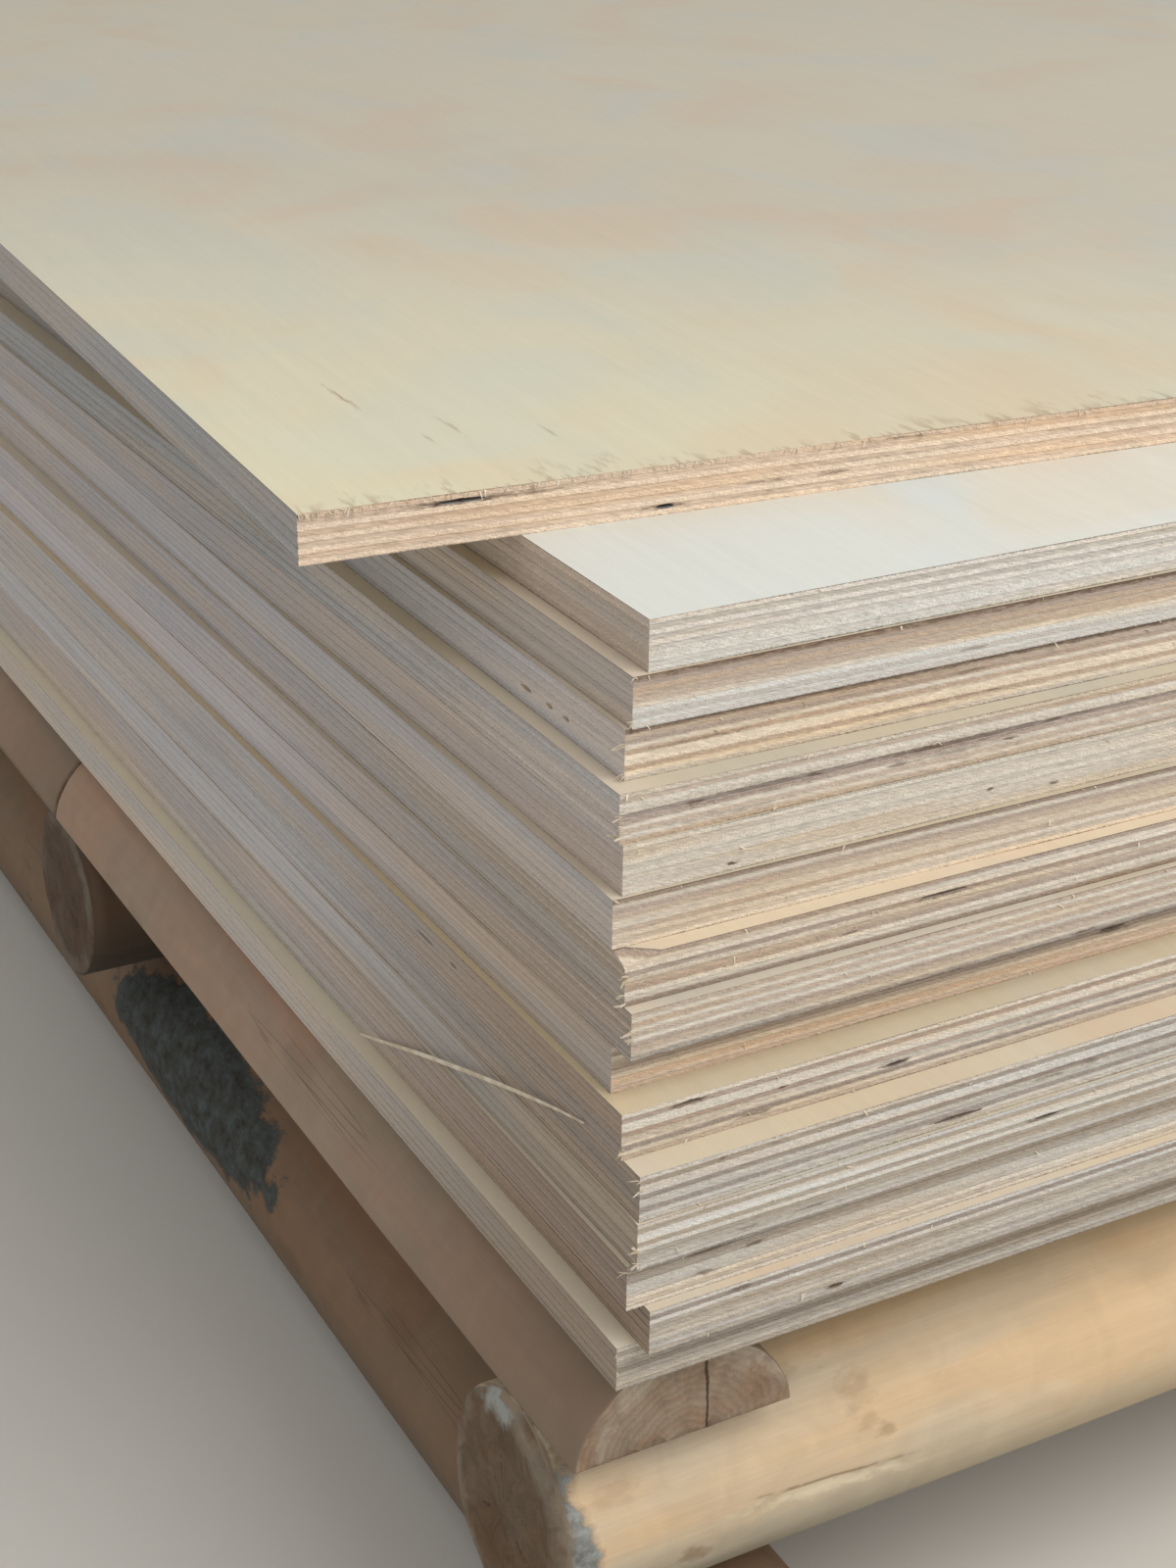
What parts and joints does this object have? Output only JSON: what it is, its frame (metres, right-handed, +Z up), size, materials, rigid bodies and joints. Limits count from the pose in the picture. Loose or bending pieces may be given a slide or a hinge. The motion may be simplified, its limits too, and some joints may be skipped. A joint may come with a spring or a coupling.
{
  "type": "stack of plywood sheets",
  "caption": "Stack of full size plywood sheets laid by hand, the top one turned askew, on half log bearers over a crib of round logs.",
  "frame": {"origin": "middle of the object's box on the floor, under the stack", "axes": "+X to the right along the short front edge, +Y back along the long edge and the face grain, +Z up"},
  "size_m": [1.3646, 2.5766, 0.5194],
  "materials": {
    "plywood": "unsanded, sawn edges with light and dark veneers",
    "halved_log": "peeled and weathered, sawn face down",
    "peeled_log": "peeled, with traces of bark"
  },
  "bodies": {
    "root": {"bearer_left_1": "halved_log", "bearer_left_2": "halved_log", "bearer_left_3": "halved_log", "bearer_left_4": "halved_log", "bearer_middle_1": "halved_log", "bearer_middle_2": "halved_log", "bearer_middle_3": "halved_log", "bearer_middle_4": "halved_log", "bearer_right_1": "halved_log", "bearer_right_2": "halved_log", "bearer_right_3": "halved_log", "bearer_right_4": "halved_log", "cross_log_1": "peeled_log", "cross_log_2": "peeled_log", "cross_log_3": "peeled_log", "cross_log_4": "peeled_log", "cross_log_5": "peeled_log", "floor_log_left": "peeled_log", "floor_log_middle": "peeled_log", "floor_log_right": "peeled_log", "sheet_01": "plywood", "sheet_02": "plywood", "sheet_03": "plywood", "sheet_04": "plywood", "sheet_05": "plywood", "sheet_06": "plywood", "sheet_07": "plywood", "sheet_08": "plywood", "sheet_09": "plywood", "sheet_10": "plywood", "sheet_11": "plywood", "sheet_12": "plywood", "sheet_13": "plywood", "sheet_14": "plywood", "sheet_15": "plywood", "sheet_16": "plywood"}
  },
  "joints": []
}
